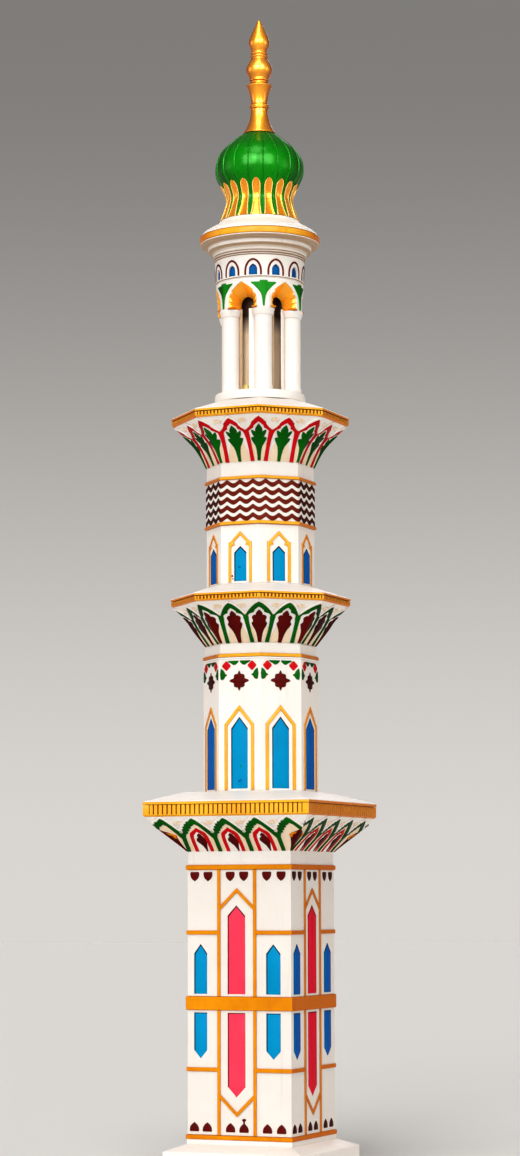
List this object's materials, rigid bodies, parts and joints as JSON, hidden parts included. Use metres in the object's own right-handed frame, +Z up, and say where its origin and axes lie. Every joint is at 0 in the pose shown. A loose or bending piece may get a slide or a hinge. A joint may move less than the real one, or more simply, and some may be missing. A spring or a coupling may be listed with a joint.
{
  "type": "ornamental minaret",
  "caption": "Free-standing painted minaret: square base, octagonal stages, corbelled balconies, arcaded lantern, ribbed onion dome and turned gilt finial.",
  "frame": {"origin": "centre of the plinth's underside, at ground level", "axes": "+Z up along the axis to the finial, -Y out of the front face, +X to the right seen from the front"},
  "size_m": [0.695, 0.695, 4.572],
  "materials": {
    "white_paint": "white masonry paint on cast cement",
    "gilt_paint": "gold paint on cast cement, slightly metallic",
    "finial_gilt": "glossy gold paint on turned cast cement",
    "dome_green": "high gloss green enamel on cast cement",
    "blue_paint": "blue enamel in the recessed panels",
    "pink_paint": "pink enamel in the tall panels",
    "red_paint": "red enamel on relief ornament",
    "maroon_paint": "maroon enamel on relief ornament",
    "leaf_green_paint": "dark green enamel on relief ornament",
    "cream_paint": "cream paint in the corbel petals"
  },
  "bodies": {
    "root": {"plinth_slab": "white_paint", "base_skirting": "white_paint", "base_lower_shaft": "white_paint", "base_upper_shaft": "white_paint", "lower_balcony_corbel": "white_paint", "lower_balcony_roof": "white_paint", "lower_octagon_shaft": "white_paint", "middle_balcony_corbel": "white_paint", "middle_balcony_roof": "white_paint", "upper_octagon_shaft": "white_paint", "chevron_drum": "white_paint", "upper_balcony_corbel": "white_paint", "upper_balcony_roof": "white_paint", "lantern_step": "white_paint", "lantern_core": "white_paint", "lantern_arcade": "white_paint", "lantern_drum": "white_paint", "lantern_cornice": "white_paint", "dome_base": "white_paint", "lantern_column_1": "white_paint", "lantern_column_2": "white_paint", "lantern_column_3": "white_paint", "lantern_column_4": "white_paint", "lantern_column_5": "white_paint", "lantern_column_6": "white_paint", "base_bottom_band": "gilt_paint", "base_middle_band": "gilt_paint", "base_top_band": "gilt_paint", "lower_strapwork": "gilt_paint", "upper_strapwork": "gilt_paint", "lower_balcony_cornice": "gilt_paint", "lower_octagon_band": "gilt_paint", "middle_balcony_cornice": "gilt_paint", "upper_octagon_lower_band": "gilt_paint", "upper_octagon_top_band": "gilt_paint", "upper_balcony_cornice": "gilt_paint", "lantern_cornice_rim": "gilt_paint", "dome_petal_crown": "gilt_paint", "finial_foot": "finial_gilt", "finial_vase": "finial_gilt", "finial_bulb": "finial_gilt", "finial_spear": "finial_gilt", "dome": "dome_green"}
  },
  "joints": []
}
